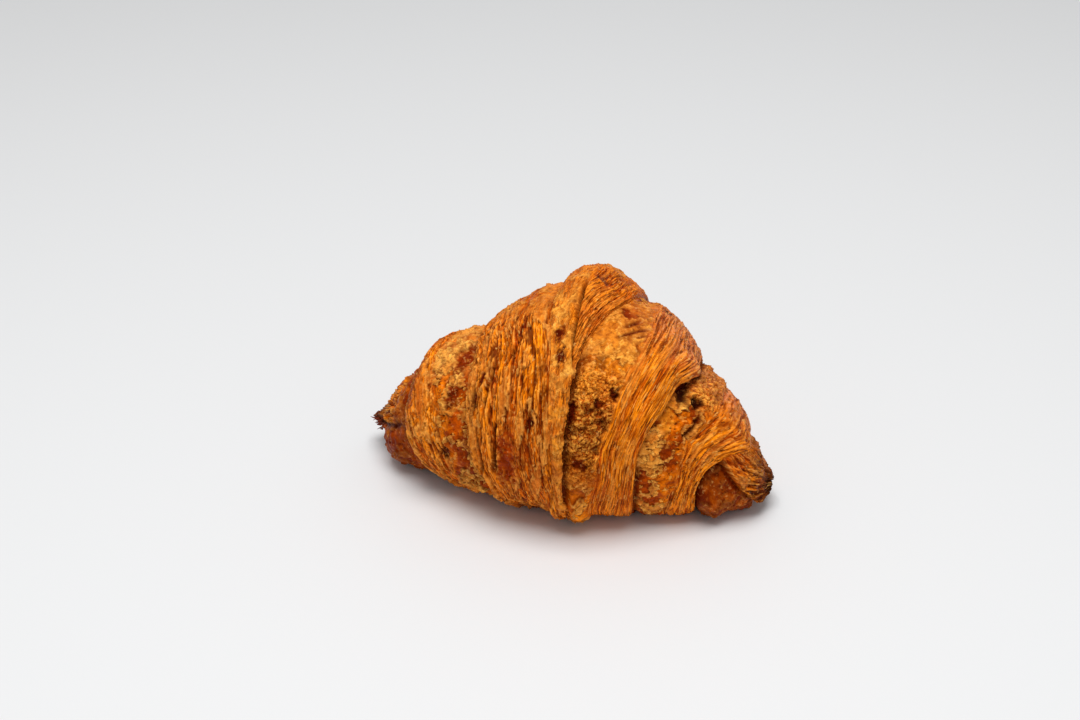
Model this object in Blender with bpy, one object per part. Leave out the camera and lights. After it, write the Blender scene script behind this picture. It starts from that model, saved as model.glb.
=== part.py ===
"""Croissant: one baked piece of rolled laminated dough, lying on its flat base.

The dough is a long triangle rolled from its wide side to its point, so the body is a
slim core with three turns of dough round it.  Each turn is narrower than the one
below, and its two side edges stand proud as steps that wind round the body.  The
last turn ends as a narrow tail that comes over the top and down the front.
Lengths are in millimetres until the mesh is written in metres.
"""
import bpy
import bmesh
import numpy as np

MM = 0.001

# the body, tip to tip
LEFT_TIP_X = -71.0
RIGHT_TIP_X = 75.0
BOW_DEPTH = 9.0          # the tips swing this far back at BOW_REACH from the middle
BOW_REACH = 70.0
BASE_SINK = 2.0          # how much of the round underside the baking tray has pressed flat
TOP_SQUARENESS = 2.05    # superellipse powers: 2 is an ellipse
BASE_SQUARENESS = 2.7
SQUARING_RATE = 1.6      # how soon below the axis the section grows squarer
LEAST_REACH = 0.5        # no section is thinner than this
CORE_SINK = 1.0          # the core's underside: this far under the tray at most,
CORE_DEPTH_SHARE = 1.1   # and at most this share of its reach below the axis

# height of the roll's axis over the tray, at stations along the body
AXIS_HEIGHT = (
    (-71.0, 9.0), (-66.0, 12.0), (-56.0, 17.0), (-42.0, 24.0), (-20.0, 32.0), (0.0, 36.0),
    (20.0, 36.0), (38.0, 31.0), (54.0, 22.0), (66.0, 14.0), (75.0, 9.0),
)

# each layer of the roll: station, reach to the front, height of its top, reach to the back
CORE = (
    (-71.0, 0.8, 10.0, 0.8), (-68.0, 4.0, 13.0, 4.0), (-62.0, 10.0, 22.0, 9.0),
    (-54.0, 16.5, 33.0, 16.0), (-42.0, 22.0, 43.0, 22.0), (0.0, 28.0, 55.0, 28.0),
    (42.0, 22.0, 50.0, 23.0), (54.0, 18.5, 42.0, 20.0), (62.0, 15.5, 33.5, 16.0),
    (68.0, 12.0, 24.0, 12.0), (72.0, 8.0, 14.5, 8.0), (75.0, 2.0, 10.0, 2.0),
)
FIRST_TURN = (
    (-56.0, 22.0, 42.0, 22.0), (-44.0, 25.5, 49.0, 27.0), (-30.0, 29.0, 54.0, 31.0),
    (0.0, 34.0, 67.0, 35.0), (38.0, 26.5, 61.0, 31.0), (54.0, 21.5, 48.5, 25.0),
    (66.0, 17.0, 36.0, 18.0), (72.0, 13.0, 27.0, 14.0),
)
SECOND_TURN = (
    (-38.0, 31.0, 51.5, 32.0), (-25.0, 33.5, 60.5, 36.0), (-10.0, 37.0, 72.0, 39.0),
    (0.0, 39.0, 76.5, 40.0), (15.0, 37.5, 77.5, 41.0), (30.0, 33.0, 74.0, 39.0),
    (42.0, 29.5, 66.0, 36.0), (54.0, 27.0, 50.0, 31.0),
)
TAIL_TURN = (
    (-15.0, 37.0, 73.0, 43.0), (0.0, 40.5, 80.0, 45.0), (12.0, 40.5, 84.0, 46.0),
    (22.0, 38.5, 79.5, 45.0), (35.0, 35.0, 68.0, 41.0),
)
LAYERS = (CORE, FIRST_TURN, SECOND_TURN, TAIL_TURN)

# side edges of the wound dough: turned angle from the tail's point inward, position
# along the body.  One full turn is 360 degrees.
RIGHT_EDGE = (
    (0, 11.5), (56, 12), (90, 13), (130, 14), (151, 17), (168, 21), (190, 28), (270, 30),
    (360, 31.5), (411, 32.5), (453, 34), (475, 37), (493, 41), (509, 43.5), (523, 47),
    (537, 50.5), (630, 51), (720, 51.2), (785, 51.5), (816, 54.5), (839, 60), (855, 65),
    (874, 68.5), (990, 69), (1080, 69),
)
LEFT_EDGE = (
    (0, 11), (61, 9.5), (102, 7.5), (141, 5), (168, 1.0), (190, 1.4), (215, -1.5), (270, -6),
    (360, -10), (420, -14), (447, -19), (480, -21), (506, -23), (530, -27), (630, -29.5),
    (720, -31), (765, -34),
    (777, -38), (806, -44), (840, -47), (879, -47.5), (990, -49), (1080, -49),
)
TAIL_POINT_ANGLE = -90.0     # the tail's point is tucked in under the base
TAIL_FADE = 60.0             # degrees over which the point thins out
MERGE_FROM = 230.0           # each turn sinks onto the one below between these two
MERGE_OVER = 130.0           # angles, past the back and under the base
SHOULDER = 8.0               # how far in from an edge a turn reaches its full thickness
SHOULDER_POWER = 2.2

# the crease that splits the tail over the top
CREASE_X = 11.5
CREASE_DEPTH = 1.6
CREASE_HALF_WIDTH = 2.2
CREASE_FROM = 40.0
CREASE_TO = 115.0
CREASE_FADE = 20.0       # degrees over which the crease deepens at each end

# mesh
AROUND = 64
EDGE_AT = (-45.0, -24.0, 3.0, 18.0, 42.0, 60.0)   # mesh lines that follow the six edges
EDGE_GAP = 0.45
TRACK_FADE = 30.0
STATION_STEP = 2.3
LEFT_TIP_CROWDING = 1.5  # mesh lines crowd towards each tip by this power
RIGHT_TIP_CROWDING = 1.6
SAME_PLACE = 1e-6
LEVEL = 1e-3             # sines flatter than this never meet the tray
FAR_AWAY = 1e9


def spline(rows, column):
    """Natural cubic spline through one column of a table, as a function."""
    x = np.array([row[0] for row in rows], float)
    y = np.array([row[column] for row in rows], float)
    n = len(x)
    h = np.diff(x)
    matrix = np.zeros((n, n))
    right = np.zeros(n)
    matrix[0, 0] = 1.0
    matrix[-1, -1] = 1.0
    for i in range(1, n - 1):
        matrix[i, i - 1] = h[i - 1]
        matrix[i, i] = 2.0 * (h[i - 1] + h[i])
        matrix[i, i + 1] = h[i]
        right[i] = 6.0 * ((y[i + 1] - y[i]) / h[i] - (y[i] - y[i - 1]) / h[i - 1])
    bend = np.linalg.solve(matrix, right)

    def value(q):
        q = np.clip(q, x[0], x[-1])
        i = np.clip(np.searchsorted(x, q) - 1, 0, n - 2)
        a = q - x[i]
        b = x[i + 1] - q
        w = h[i]
        cubic = (bend[i] * b ** 3 + bend[i + 1] * a ** 3) / (6.0 * w)
        return cubic + (y[i] / w - bend[i] * w / 6.0) * b + (y[i + 1] / w - bend[i + 1] * w / 6.0) * a

    return value


def rising(rows):
    """Monotone cubic through a two-column table, as a function."""
    x = np.array([row[0] for row in rows], float)
    y = np.array([row[1] for row in rows], float)
    h = np.diff(x)
    d = np.diff(y) / h
    m = np.zeros(len(x))
    m[0] = d[0]
    m[-1] = d[-1]
    for i in range(1, len(x) - 1):
        if d[i - 1] * d[i] > 0.0:
            w1 = 2.0 * h[i] + h[i - 1]
            w2 = h[i] + 2.0 * h[i - 1]
            m[i] = (w1 + w2) / (w1 / d[i - 1] + w2 / d[i])

    def value(q):
        q = np.clip(q, x[0], x[-1])
        i = np.clip(np.searchsorted(x, q) - 1, 0, len(x) - 2)
        t = (q - x[i]) / h[i]
        s = 1.0 - t
        ends = y[i] * s * s * (1.0 + 2.0 * t) + y[i + 1] * t * t * (3.0 - 2.0 * t)
        return ends + h[i] * (m[i] * t * s * s - m[i + 1] * t * t * s)

    return value


axis_height = spline(AXIS_HEIGHT, 1)
front_reach = [spline(rows, 1) for rows in LAYERS]
top_height = [spline(rows, 2) for rows in LAYERS]
back_reach = [spline(rows, 3) for rows in LAYERS]
right_edge = rising(RIGHT_EDGE)
left_edge = rising(LEFT_EDGE)


def smooth(t):
    t = np.clip(t, 0.0, 1.0)
    return t * t * (3.0 - 2.0 * t)


def shoulder(t):
    """Rounded step: 0 at the edge, 1 one shoulder width in."""
    t = np.clip(t, 0.0, 1.0)
    return (1.0 - (1.0 - t) ** SHOULDER_POWER) ** (1.0 / SHOULDER_POWER)


def superellipse(reach, height, v):
    """Radius of an ellipse that grows squarer towards the base."""
    power = TOP_SQUARENESS + (BASE_SQUARENESS - TOP_SQUARENESS) * smooth(-SQUARING_RATE * np.sin(v))
    c = np.abs(np.cos(v))
    s = np.abs(np.sin(v))
    return ((c / reach) ** power + (s / height) ** power) ** (-1.0 / power)


def layer_radius(k, x, v):
    """Distance from the roll's axis to layer k, were it uncovered, at angle v."""
    centre = axis_height(x)
    reach = np.maximum(np.where(np.cos(v) >= 0.0, front_reach[k](x), back_reach[k](x)), LEAST_REACH)
    above = np.maximum(top_height[k](x) - centre, LEAST_REACH)
    below = centre + BASE_SINK
    if k == 0:
        below = np.minimum(centre + CORE_SINK, CORE_DEPTH_SHARE * reach)
    return superellipse(reach, np.where(np.sin(v) >= 0.0, above, below), v)


def crease(x, degrees):
    across = np.clip(1.0 - np.abs(x - CREASE_X) / CREASE_HALF_WIDTH, 0.0, 1.0)
    along = smooth((degrees - CREASE_FROM) / CREASE_FADE) * smooth((CREASE_TO - degrees) / CREASE_FADE)
    return CREASE_DEPTH * across * along


def body_radius(x, v):
    """Outer skin of the roll: the core, with each turn laid over what is below."""
    turned = (np.degrees(v) - TAIL_POINT_ANGLE) % 360.0
    layer = [layer_radius(k, x, v) for k in range(len(LAYERS))]
    radius = layer[0].copy()
    merge = smooth((turned - MERGE_FROM) / MERGE_OVER)
    last = len(LAYERS) - 1
    for k in range(1, len(LAYERS)):
        wound = turned + 360.0 * (last - k)
        left = left_edge(wound)
        right = right_edge(wound)
        run = np.minimum(SHOULDER, np.maximum(right - left, 0.01) * 0.5)
        raised = np.minimum(shoulder((x - left) / run), shoulder((right - x) / run))
        if k == last:
            raised = raised * smooth(turned / TAIL_FADE)
        own = layer[k] * (1.0 - merge) + layer[k - 1] * merge
        radius = radius + np.maximum(own - radius, 0.0) * raised
    radius = radius - crease(x, (np.degrees(v) + 90.0) % 360.0 - 90.0)
    down = np.sin(v)
    tray = np.where(down < -LEVEL, axis_height(x) / np.maximum(-down, LEVEL), FAR_AWAY)
    return np.minimum(radius, tray)


def skin_point(x, v, radius):
    slope = 2.0 * BOW_DEPTH * x / BOW_REACH ** 2
    bow = BOW_DEPTH * (x / BOW_REACH) ** 2
    run = np.sqrt(1.0 + slope * slope)
    out = radius * np.cos(v)
    return np.stack([x + out * slope / run, bow - out / run, axis_height(x) + radius * np.sin(v)], -1)


def stations():
    """Mesh lines along the body: close beside each edge, wider between."""
    marks = [LEFT_TIP_X] + list(EDGE_AT) + [RIGHT_TIP_X]
    found = []
    for i in range(len(marks) - 1):
        a = marks[i]
        b = marks[i + 1]
        steps = max(3, int(round((b - a) / STATION_STEP)))
        for j in range(steps):
            t = j / steps
            if i == 0:
                t = t ** LEFT_TIP_CROWDING
            elif i == len(marks) - 2:
                t = 1.0 - (1.0 - t) ** RIGHT_TIP_CROWDING
            found.append(a + (b - a) * t)
    found = sorted(found)[1:]
    for mark in EDGE_AT:
        found.remove(min(found, key=lambda q: abs(q - mark)))
        found.append(mark - EDGE_GAP)
        found.append(mark + EDGE_GAP)
    return np.array(sorted(found))


def tracked(rest_x, v):
    """Slide the mesh lines so that, round the body, they follow the six edges."""
    turned = (np.degrees(v) - TAIL_POINT_ANGLE) % 360.0
    to_cut = min(turned, 360.0 - turned)
    share = float(smooth(to_cut / TRACK_FADE))
    ends = [LEFT_TIP_X]
    ends += [float(left_edge(turned + 360.0 * j)) for j in (2, 1, 0)]
    ends += [float(right_edge(turned + 360.0 * j)) for j in (0, 1, 2)]
    ends += [RIGHT_TIP_X]
    marks = [LEFT_TIP_X] + list(EDGE_AT) + [RIGHT_TIP_X]
    slid = np.interp(rest_x, marks, ends)
    for mark, end in zip(EDGE_AT, ends[1:-1]):
        for side in (-EDGE_GAP, EDGE_GAP):
            slid[np.abs(rest_x - mark - side) < SAME_PLACE] = end + side
    return rest_x * (1.0 - share) + slid * share


def build():
    for item in list(bpy.data.objects):
        bpy.data.objects.remove(item, do_unlink=True)

    rest_x = stations()
    angles = np.radians(TAIL_POINT_ANGLE + 360.0 * (np.arange(AROUND) + 0.5) / AROUND)
    rings = np.zeros((len(rest_x), AROUND, 3))
    for j, v in enumerate(angles):
        x = tracked(rest_x, v)
        here = np.full(len(x), v)
        rings[:, j, :] = skin_point(x, here, body_radius(x, here))
    tips = []
    for x in (LEFT_TIP_X, RIGHT_TIP_X):
        tips.append(skin_point(np.array([x]), np.array([0.0]), np.array([0.0]))[0])
    tips = np.array(tips)

    every = np.concatenate([rings.reshape(-1, 3), tips])
    low = every.min(axis=0)
    high = every.max(axis=0)
    origin = np.array([(low[0] + high[0]) / 2.0, (low[1] + high[1]) / 2.0, low[2]])
    rings = (rings - origin) * MM
    tips = (tips - origin) * MM

    shape = bmesh.new()
    grid = []
    for i in range(len(rest_x)):
        grid.append([shape.verts.new(rings[i, j]) for j in range(AROUND)])
    left_tip = shape.verts.new(tips[0])
    right_tip = shape.verts.new(tips[1])
    for j in range(AROUND):
        k = (j + 1) % AROUND
        shape.faces.new((left_tip, grid[0][k], grid[0][j]))
        shape.faces.new((right_tip, grid[-1][j], grid[-1][k]))
        for i in range(len(rest_x) - 1):
            shape.faces.new((grid[i][j], grid[i][k], grid[i + 1][k], grid[i + 1][j]))
    bmesh.ops.recalc_face_normals(shape, faces=shape.faces)
    mesh = bpy.data.meshes.new("croissant")
    shape.to_mesh(mesh)
    shape.free()

    crust = bpy.data.materials.new("baked crust")
    crust.use_nodes = True
    look = crust.node_tree.nodes["Principled BSDF"]
    look.inputs["Base Color"].default_value = (0.42, 0.12, 0.02, 1.0)
    look.inputs["Roughness"].default_value = 0.5
    mesh.materials.append(crust)

    croissant = bpy.data.objects.new("croissant", mesh)
    group = bpy.data.collections.new("croissant")
    bpy.context.scene.collection.children.link(group)
    group.objects.link(croissant)


build()
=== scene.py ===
"""Croissant: the baked look.

The solid from the CAD frame is replaced by the dough as it is wound: a core that
shows at both ends, two turns that each show on the left and on the right, and the
tail on top.  Every piece is a closed band of fine mesh whose strands, flakes and
blisters are real relief.  Body sizes are in millimetres, as in the part's own
script, and are written to the meshes in metres.
"""
import math
import bpy
import numpy as np
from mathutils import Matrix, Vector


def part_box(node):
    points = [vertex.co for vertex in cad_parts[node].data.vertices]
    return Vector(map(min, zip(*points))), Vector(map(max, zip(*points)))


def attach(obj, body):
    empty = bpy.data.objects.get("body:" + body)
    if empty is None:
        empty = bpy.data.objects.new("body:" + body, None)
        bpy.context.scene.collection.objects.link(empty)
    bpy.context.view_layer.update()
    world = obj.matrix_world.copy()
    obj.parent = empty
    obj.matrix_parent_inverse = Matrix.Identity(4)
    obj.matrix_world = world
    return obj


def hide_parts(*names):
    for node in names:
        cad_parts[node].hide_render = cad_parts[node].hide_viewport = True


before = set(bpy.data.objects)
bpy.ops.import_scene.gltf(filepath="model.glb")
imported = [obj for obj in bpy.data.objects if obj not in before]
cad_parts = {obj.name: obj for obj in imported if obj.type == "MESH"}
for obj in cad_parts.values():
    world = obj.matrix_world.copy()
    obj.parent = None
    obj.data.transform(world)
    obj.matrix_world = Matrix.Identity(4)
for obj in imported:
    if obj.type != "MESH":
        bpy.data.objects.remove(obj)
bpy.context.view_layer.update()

MM = 0.001
NODE = "croissant"

# ---------------------------------------------------------------- the wound body

LEFT_TIP_X = -71.0
RIGHT_TIP_X = 75.0
BOW_DEPTH = 9.0
BOW_REACH = 70.0
BASE_SINK = 2.0
TOP_SQUARENESS = 2.05
BASE_SQUARENESS = 2.25

AXIS_HEIGHT = (
    (-71.0, 9.0), (-66.0, 12.0), (-56.0, 17.0), (-42.0, 24.0), (-20.0, 32.0), (0.0, 36.0),
    (20.0, 36.0), (38.0, 31.0), (54.0, 22.0), (66.0, 14.0), (75.0, 9.0),
)
CORE = (
    (-71.0, 0.8, 10.0, 0.8), (-68.0, 4.0, 13.0, 4.0), (-62.0, 10.0, 22.0, 9.0),
    (-54.0, 16.5, 33.0, 16.0), (-42.0, 22.0, 43.0, 22.0), (0.0, 28.0, 55.0, 28.0),
    (42.0, 22.0, 50.0, 23.0), (54.0, 18.5, 42.0, 20.0), (62.0, 15.5, 33.5, 16.0),
    (68.0, 12.0, 24.0, 12.0), (72.0, 8.0, 14.5, 8.0), (75.0, 2.0, 10.0, 2.0),
)
FIRST_TURN = (
    (-56.0, 22.0, 42.0, 22.0), (-44.0, 25.5, 49.0, 27.0), (-30.0, 29.0, 54.0, 31.0),
    (0.0, 34.0, 67.0, 35.0), (38.0, 26.5, 61.0, 31.0), (54.0, 21.5, 48.5, 25.0),
    (66.0, 17.0, 36.0, 18.0), (72.0, 13.0, 27.0, 14.0),
)
SECOND_TURN = (
    (-38.0, 31.0, 51.5, 32.0), (-25.0, 33.5, 60.5, 36.0), (-10.0, 37.0, 72.0, 39.0),
    (0.0, 39.0, 76.5, 40.0), (15.0, 37.5, 77.5, 41.0), (30.0, 33.0, 74.0, 39.0),
    (42.0, 29.5, 66.0, 36.0), (54.0, 27.0, 50.0, 31.0),
)
TAIL_TURN = (
    (-15.0, 37.0, 73.0, 43.0), (0.0, 40.5, 80.0, 45.0), (12.0, 40.5, 84.0, 46.0),
    (22.0, 38.5, 79.5, 45.0), (35.0, 35.0, 68.0, 41.0),
)
LAYERS = (CORE, FIRST_TURN, SECOND_TURN, TAIL_TURN)
TAIL = 3

RIGHT_EDGE = (
    (0, 11.5), (56, 12), (90, 13), (130, 14), (151, 17), (168, 21), (190, 27), (270, 30),
    (360, 31.5), (411, 32.5), (453, 34), (475, 37), (493, 41), (509, 43.5), (523, 47),
    (537, 50.5), (630, 51), (720, 51.2), (785, 51.5), (816, 54.5), (839, 60), (855, 65),
    (874, 68.5), (990, 69), (1080, 69),
)
LEFT_EDGE = (
    (0, 11), (61, 9.5), (102, 7.5), (141, 5), (168, 1.0), (190, 1.4), (215, -1.5), (270, -6),
    (360, -10), (420, -14), (447, -19), (480, -21), (506, -23), (530, -27), (630, -29.5),
    (720, -31), (765, -34),
    (777, -38), (806, -44), (840, -47), (879, -47.5), (990, -49), (1080, -49),
)
START_ANGLE = -90.0
TAIL_FADE = 60.0
MERGE_FROM = 230.0
MERGE_OVER = 130.0
SHOULDER = 4.5
SHOULDER_POWER = 2.2

# Angle and x of the crack down the tail, where its narrow strip lies on the fan beside it.
CRACK = ((35.0, 14.5), (50.0, 12.8), (60.0, 11.9), (72.0, 11.2), (84.0, 11.0), (96.0, 11.6), (125.0, 15.0))

# Angle and x of the inner limit of the cut strands on each turn; past it the dough's face is open.
LEFT_FIRST_LIMIT = (
    (-90.0, -16.0), (-45.0, -23.0), (-29.0, -26.0), (-1.0, -30.0), (29.0, -34.0), (52.0, -38.0),
    (73.0, -41.0), (120.0, -40.0), (180.0, -39.0), (270.0, -39.0),
)
RIGHT_FIRST_LIMIT = (
    (-90.0, 39.0), (-46.0, 41.0), (-15.0, 44.5), (9.0, 46.0), (28.0, 47.5), (43.0, 51.0),
    (66.0, 56.5), (106.0, 60.0), (180.0, 58.0), (270.0, 57.0),
)
RIGHT_SECOND_LIMIT = (
    (-90.0, 16.0), (-42.0, 18.0), (-15.0, 21.5), (6.0, 22.5), (22.0, 25.0), (41.0, 27.0),
    (60.0, 31.0), (79.0, 34.0), (110.0, 35.0), (180.0, 34.0), (270.0, 35.0),
)


def spline(rows, column):
    """Natural cubic spline through one column of a table, as a function."""
    x = np.array([row[0] for row in rows], float)
    y = np.array([row[column] for row in rows], float)
    n = len(x)
    h = np.diff(x)
    matrix = np.zeros((n, n))
    right = np.zeros(n)
    matrix[0, 0] = 1.0
    matrix[-1, -1] = 1.0
    for i in range(1, n - 1):
        matrix[i, i - 1] = h[i - 1]
        matrix[i, i] = 2.0 * (h[i - 1] + h[i])
        matrix[i, i + 1] = h[i]
        right[i] = 6.0 * ((y[i + 1] - y[i]) / h[i] - (y[i] - y[i - 1]) / h[i - 1])
    bend = np.linalg.solve(matrix, right)

    def value(q):
        q = np.clip(q, x[0], x[-1])
        i = np.clip(np.searchsorted(x, q) - 1, 0, n - 2)
        a = q - x[i]
        b = x[i + 1] - q
        w = h[i]
        cubic = (bend[i] * b ** 3 + bend[i + 1] * a ** 3) / (6.0 * w)
        return cubic + (y[i] / w - bend[i] * w / 6.0) * b + (y[i + 1] / w - bend[i + 1] * w / 6.0) * a

    return value


def rising(rows):
    """Monotone cubic through a two-column table, as a function."""
    x = np.array([row[0] for row in rows], float)
    y = np.array([row[1] for row in rows], float)
    h = np.diff(x)
    d = np.diff(y) / h
    m = np.zeros(len(x))
    m[0] = d[0]
    m[-1] = d[-1]
    for i in range(1, len(x) - 1):
        if d[i - 1] * d[i] > 0.0:
            w1 = 2.0 * h[i] + h[i - 1]
            w2 = h[i] + 2.0 * h[i - 1]
            m[i] = (w1 + w2) / (w1 / d[i - 1] + w2 / d[i])

    def value(q):
        q = np.clip(q, x[0], x[-1])
        i = np.clip(np.searchsorted(x, q) - 1, 0, len(x) - 2)
        t = (q - x[i]) / h[i]
        s = 1.0 - t
        ends = y[i] * s * s * (1.0 + 2.0 * t) + y[i + 1] * t * t * (3.0 - 2.0 * t)
        return ends + h[i] * (m[i] * t * s * s - m[i + 1] * t * t * s)

    return value


axis_height = spline(AXIS_HEIGHT, 1)
front_reach = [spline(rows, 1) for rows in LAYERS]
top_height = [spline(rows, 2) for rows in LAYERS]
back_reach = [spline(rows, 3) for rows in LAYERS]
right_edge = rising(RIGHT_EDGE)
left_edge = rising(LEFT_EDGE)


def smooth(t):
    t = np.clip(t, 0.0, 1.0)
    return t * t * (3.0 - 2.0 * t)


def between(value, low, high):
    """Smooth 0 to 1 as value goes from low to high (or back, if high is below low)."""
    return smooth((value - low) / (high - low))


def mix(a, b, share):
    return a + (b - a) * share


def along(rows, degrees):
    """Straight-line reading of a two-column table."""
    return np.interp(degrees, [row[0] for row in rows], [row[1] for row in rows])


def superellipse(reach, height, v):
    """Radius of an ellipse that grows squarer towards the base."""
    power = TOP_SQUARENESS + (BASE_SQUARENESS - TOP_SQUARENESS) * smooth(-1.6 * np.sin(v))
    c = np.abs(np.cos(v))
    s = np.abs(np.sin(v))
    return ((c / reach) ** power + (s / height) ** power) ** (-1.0 / power)


def layer_radius(k, x, v):
    """Distance from the roll's axis to layer k, were it uncovered, at angle v."""
    centre = axis_height(x)
    reach = np.maximum(np.where(np.cos(v) >= 0.0, front_reach[k](x), back_reach[k](x)), 0.5)
    above = np.maximum(top_height[k](x) - centre, 0.5)
    below = centre + BASE_SINK
    if k == 0:
        below = np.minimum(centre + 1.0, 1.1 * reach)
    return superellipse(reach, np.where(np.sin(v) >= 0.0, above, below), v)


def shoulder(t):
    t = np.clip(t, 0.0, 1.0)
    return (1.0 - (1.0 - t) ** SHOULDER_POWER) ** (1.0 / SHOULDER_POWER)


def turned_angle(v):
    """Degrees past the tail's point, in one turn."""
    return (np.degrees(v) - START_ANGLE) % 360.0


def own_radius(k, x, v, turned):
    """Layer k's skin, sinking onto the layer below as it passes under the base."""
    if k == 0:
        return layer_radius(0, x, v)
    merge = smooth((turned - MERGE_FROM) / MERGE_OVER)
    return mix(layer_radius(k, x, v), layer_radius(k - 1, x, v), merge)


def body_radius(x, v, turned, last):
    """Outer skin of the roll with layers up to the given one."""
    radius = layer_radius(0, x, v)
    for k in range(1, last + 1):
        wound = turned + 360.0 * (TAIL - k)
        left = left_edge(wound)
        right = right_edge(wound)
        width = np.maximum(right - left, 0.01)
        run = np.minimum(SHOULDER, width * 0.5)
        on_left = shoulder((x - left) / run)
        on_right = shoulder((right - x) / run)
        if k == TAIL:
            on_left = mix(smooth((x - left) / (0.75 * width)), on_left, between(turned, 150.0, 182.0))
            fan = right - along(CRACK, turned + START_ANGLE)
            flush = between(turned, 134.0, 148.0) * between(turned, 222.0, 186.0)
            on_right = mix(on_right, smooth((right - x) / np.maximum(0.9 * fan, 1.0)), flush)
            on_right = on_right * smooth(turned / TAIL_FADE)
        raised = np.minimum(on_left, on_right)
        radius = radius + np.maximum(own_radius(k, x, v, turned) - radius, 0.0) * raised
    return radius


def skin_point(x, v, radius):
    slope = 2.0 * BOW_DEPTH * x / BOW_REACH ** 2
    bow = BOW_DEPTH * (x / BOW_REACH) ** 2
    run = np.sqrt(1.0 + slope * slope)
    out = radius * np.cos(v)
    return np.stack([x + out * slope / run, bow - out / run, axis_height(x) + radius * np.sin(v)], -1)


def body_origin():
    """Where the CAD frame's origin lies in the body's own millimetres."""
    low, high = (np.array(corner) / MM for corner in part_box(NODE))
    x = np.linspace(-30.0, 50.0, 161)[:, None]
    v = np.radians(np.linspace(-180.0, 180.0, 181))[None, :]
    x, v = np.broadcast_arrays(x, v)
    skin = skin_point(x, v, body_radius(x, v, turned_angle(v), TAIL))
    middle = (skin[..., 1].min() + skin[..., 1].max()) / 2.0
    return np.array([LEFT_TIP_X - low[0], middle - (low[1] + high[1]) / 2.0, -low[2]])


# ---------------------------------------------------------------- noise

LATTICE = 64
_lattice_rng = np.random.default_rng(4021)
_slopes = _lattice_rng.normal(size=(LATTICE ** 3, 3)).astype(np.float32)
_slopes /= np.linalg.norm(_slopes, axis=1, keepdims=True)


def noise(a, b, c=0.0):
    """Gradient noise in about -1 to 1 on a repeating lattice."""
    a, b, c = np.broadcast_arrays(np.float32(a), np.float32(b), np.float32(c))
    cell = [np.floor(q).astype(np.int32) for q in (a, b, c)]
    part = [q - i for q, i in zip((a, b, c), cell)]
    ease = [f * f * f * (f * (f * 6.0 - 15.0) + 10.0) for f in part]
    near = [i & (LATTICE - 1) for i in cell]
    far = [(i + 1) & (LATTICE - 1) for i in cell]
    total = np.zeros(a.shape, np.float32)
    for corner in range(8):
        bits = (corner & 1, (corner >> 1) & 1, corner >> 2)
        i, j, k = (far[n] if bits[n] else near[n] for n in range(3))
        slope = _slopes[(i * LATTICE + j) * LATTICE + k]
        weight = np.ones(a.shape, np.float32)
        dot = np.zeros(a.shape, np.float32)
        for n in range(3):
            weight *= ease[n] if bits[n] else 1.0 - ease[n]
            dot += slope[..., n] * (part[n] - bits[n])
        total += weight * dot
    return total * 1.5


def fractal(a, b, c, octaves, gain=0.5):
    total = 0.0
    size = 1.0
    scale = 1.0
    for i in range(octaves):
        total = total + size * noise(a * scale + 17.3 * i, b * scale + 5.1 * i, c * scale + 9.7 * i)
        size *= gain
        scale *= 2.03
    return total


def fractal_at(points, pitch, octaves, seed, gain=0.5):
    """Fractal noise in space, pitch in mm."""
    p = points / pitch + seed * np.array([13.7, 7.9, 3.3])
    return fractal(p[..., 0], p[..., 1], p[..., 2], octaves, gain)


# ---------------------------------------------------------------- relief and colour

def srgb(r, g, b):
    """Linear colour of an 8-bit screen colour."""
    c = np.array([r, g, b], float) / 255.0
    return np.where(c <= 0.04045, c / 12.92, ((c + 0.055) / 1.055) ** 2.4)


GOLD = srgb(252, 148, 16)
AMBER = srgb(232, 112, 4)
RUSSET = srgb(180, 66, 0)
UMBER = srgb(98, 24, 0)
CHAR = srgb(42, 10, 2)
FLAKE = srgb(255, 190, 96)
ROSE = srgb(208, 140, 98)


class Skin:
    """One piece's grid of points: where each lies on the dough, its relief and its finish."""

    def __init__(self, x, v, points, reach):
        self.x = x
        self.degrees = np.degrees(v)
        self.points = points
        self.reach = reach
        shape = x.shape
        self.lift = np.zeros(shape)
        self.colour = np.zeros(shape + (3,)) + AMBER
        self.rough = np.full(shape, 0.5)
        self.strand = np.zeros(shape)
        self.crumb = np.zeros(shape)
        self.flow = np.zeros(shape + (3,))

    def paint(self, colour, share):
        self.colour = mix(self.colour, colour, np.clip(share, 0.0, 1.0)[..., None])

    def noise(self, pitch, octaves, seed, gain=0.5):
        return fractal_at(self.points, pitch, octaves, seed, gain)

    def blot(self, x, degrees, across, length, ragged=0.7, seed=1.0):
        """A soft-edged ragged spot, 1 in the middle; across and length are half sizes in mm."""
        away_x = (self.x - x) / across
        away_v = np.radians((self.degrees - degrees + 180.0) % 360.0 - 180.0) * self.reach / length
        away = np.sqrt(away_x ** 2 + away_v ** 2) + ragged * self.noise(1.8, 2, seed + x)
        return between(away, 1.3, 0.5)

    def slit(self, x, degrees, x_end, degrees_end, half_width):
        """A thin dark opening from one place to another, 1 along its middle."""
        t = np.clip((self.degrees - degrees) / (degrees_end - degrees), 0.0, 1.0)
        middle = mix(x, x_end, t) + 0.5 * noise(self.degrees / 16.0, x * 3.7)
        past = np.maximum(self.degrees - max(degrees, degrees_end), min(degrees, degrees_end) - self.degrees)
        ends = between(np.radians(past) * self.reach, 1.0, -2.5)
        return between(np.abs(self.x - middle), half_width * 1.4, 0.0) * ends


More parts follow.
